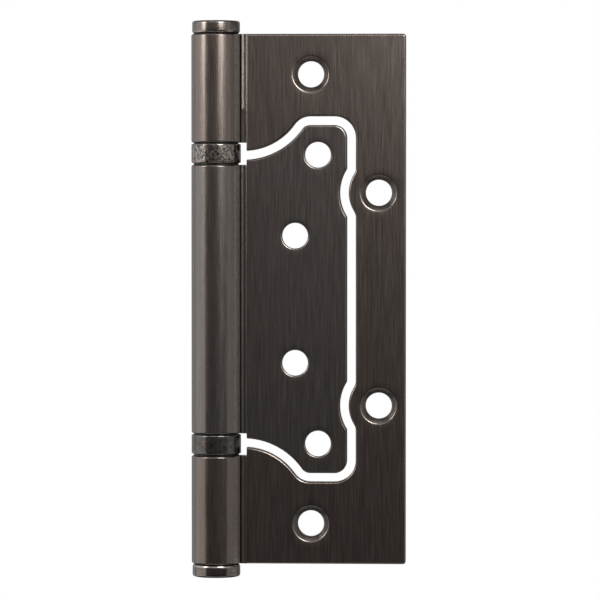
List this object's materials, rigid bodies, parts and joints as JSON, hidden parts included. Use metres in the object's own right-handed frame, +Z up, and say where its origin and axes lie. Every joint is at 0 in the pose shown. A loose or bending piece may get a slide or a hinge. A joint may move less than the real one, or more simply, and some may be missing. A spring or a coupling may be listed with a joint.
{
  "type": "non-mortise hinge",
  "caption": "Non-mortise door hinge in dark brushed steel: the small leaf nests in a window of the large one, on a rolled barrel with ball bearings and flat end caps.",
  "frame": {"origin": "on the back face of the frame leaf, midway between its two end screws", "axes": "+X from the pin to the free edges, +Y out of the back face towards the door frame, +Z up along the pin"},
  "size_m": [0.0506, 0.0117, 0.1316],
  "materials": {
    "leaf_finish": "dark nickel plate over fine brushing along the pin",
    "cap_finish": "dark nickel plate, turned",
    "bearing_finish": "dark nickel plate, grainy with bright rims",
    "pin_steel": "ground steel, lightly oiled",
    "race_steel": "hardened and ground",
    "ball_steel": "polished bearing steel"
  },
  "bodies": {
    "frame": {"frame_leaf": "leaf_finish", "hinge_pin": "pin_steel", "top_cap": "cap_finish", "bottom_cap": "cap_finish", "upper_bearing_top_race": "race_steel", "lower_bearing_bottom_race": "race_steel", "lower_bearing_sleeve": "bearing_finish"},
    "door": {"door_leaf": "leaf_finish", "upper_bearing_bottom_race": "race_steel", "upper_bearing_sleeve": "bearing_finish", "lower_bearing_top_race": "race_steel"},
    "upper_balls": {"upper_bearing_balls": "ball_steel"},
    "lower_balls": {"lower_bearing_balls": "ball_steel"}
  },
  "joints": [
    {"name": "door_swing", "type": "hinge", "parent": "frame", "child": "door", "pos_m": [-0.0224, -0.00125, 0], "axis": [0, 0, -1], "range_deg": [0, 180]},
    {"name": "upper_ball_orbit", "type": "hinge", "parent": "frame", "child": "upper_balls", "pos_m": [-0.0224, -0.00125, 0], "axis": [0, 0, -1], "range_deg": [0, 90]},
    {"name": "lower_ball_orbit", "type": "hinge", "parent": "frame", "child": "lower_balls", "pos_m": [-0.0224, -0.00125, 0], "axis": [0, 0, -1], "range_deg": [0, 90]}
  ],
  "couplings": [
    {"joint": "upper_ball_orbit", "follows": "door_swing", "ratio": 0.5},
    {"joint": "lower_ball_orbit", "follows": "door_swing", "ratio": 0.5}
  ]
}
